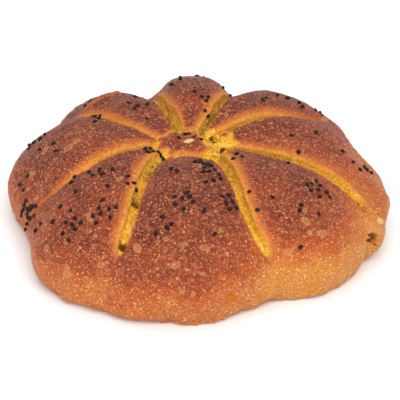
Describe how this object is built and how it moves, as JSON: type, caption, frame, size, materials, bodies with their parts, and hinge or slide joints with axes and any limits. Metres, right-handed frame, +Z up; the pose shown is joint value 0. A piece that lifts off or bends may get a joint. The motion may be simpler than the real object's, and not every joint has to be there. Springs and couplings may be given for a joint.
{
  "type": "tear and share bread",
  "caption": "Round baked loaf scored from its middle into soft lobes that are torn off by hand, with nigella seeds on the crust.",
  "frame": {"origin": "the middle of the bounding box's base, on the surface that the loaf rests on", "axes": "+Z up through the crust; -Y towards the loaf's front, where the torn grooves are widest; +X to the right seen from the front, along the loaf's slightly longer side"},
  "size_m": [0.2162, 0.2084, 0.0616],
  "materials": {
    "crust": "satin",
    "nigella": "satin",
    "kernel": "satin",
    "orange_piece": "satin"
  },
  "bodies": {
    "root": {"loaf": "crust", "knob_kernel": "kernel", "side_kernel": "kernel", "orange_piece": "orange_piece", "nigella_seed_01": "nigella", "nigella_seed_02": "nigella", "nigella_seed_03": "nigella", "nigella_seed_04": "nigella", "nigella_seed_05": "nigella", "nigella_seed_06": "nigella", "nigella_seed_07": "nigella", "nigella_seed_08": "nigella", "nigella_seed_09": "nigella", "nigella_seed_10": "nigella", "nigella_seed_11": "nigella", "nigella_seed_12": "nigella", "nigella_seed_13": "nigella", "nigella_seed_14": "nigella", "nigella_seed_15": "nigella", "nigella_seed_16": "nigella", "nigella_seed_17": "nigella", "nigella_seed_18": "nigella", "nigella_seed_19": "nigella", "nigella_seed_20": "nigella", "nigella_seed_21": "nigella", "nigella_seed_22": "nigella", "nigella_seed_23": "nigella", "nigella_seed_24": "nigella", "nigella_seed_25": "nigella", "nigella_seed_26": "nigella", "nigella_seed_27": "nigella", "nigella_seed_28": "nigella", "nigella_seed_29": "nigella", "nigella_seed_30": "nigella", "nigella_seed_31": "nigella", "nigella_seed_32": "nigella", "nigella_seed_33": "nigella", "nigella_seed_34": "nigella", "nigella_seed_35": "nigella", "nigella_seed_36": "nigella", "nigella_seed_37": "nigella", "nigella_seed_38": "nigella", "nigella_seed_39": "nigella", "nigella_seed_40": "nigella", "nigella_seed_41": "nigella", "nigella_seed_42": "nigella", "nigella_seed_43": "nigella", "nigella_seed_44": "nigella", "nigella_seed_45": "nigella", "nigella_seed_46": "nigella", "nigella_seed_47": "nigella", "nigella_seed_48": "nigella", "nigella_seed_49": "nigella", "nigella_seed_50": "nigella", "nigella_seed_51": "nigella", "nigella_seed_52": "nigella", "nigella_seed_53": "nigella", "nigella_seed_54": "nigella", "nigella_seed_55": "nigella"}
  },
  "joints": []
}
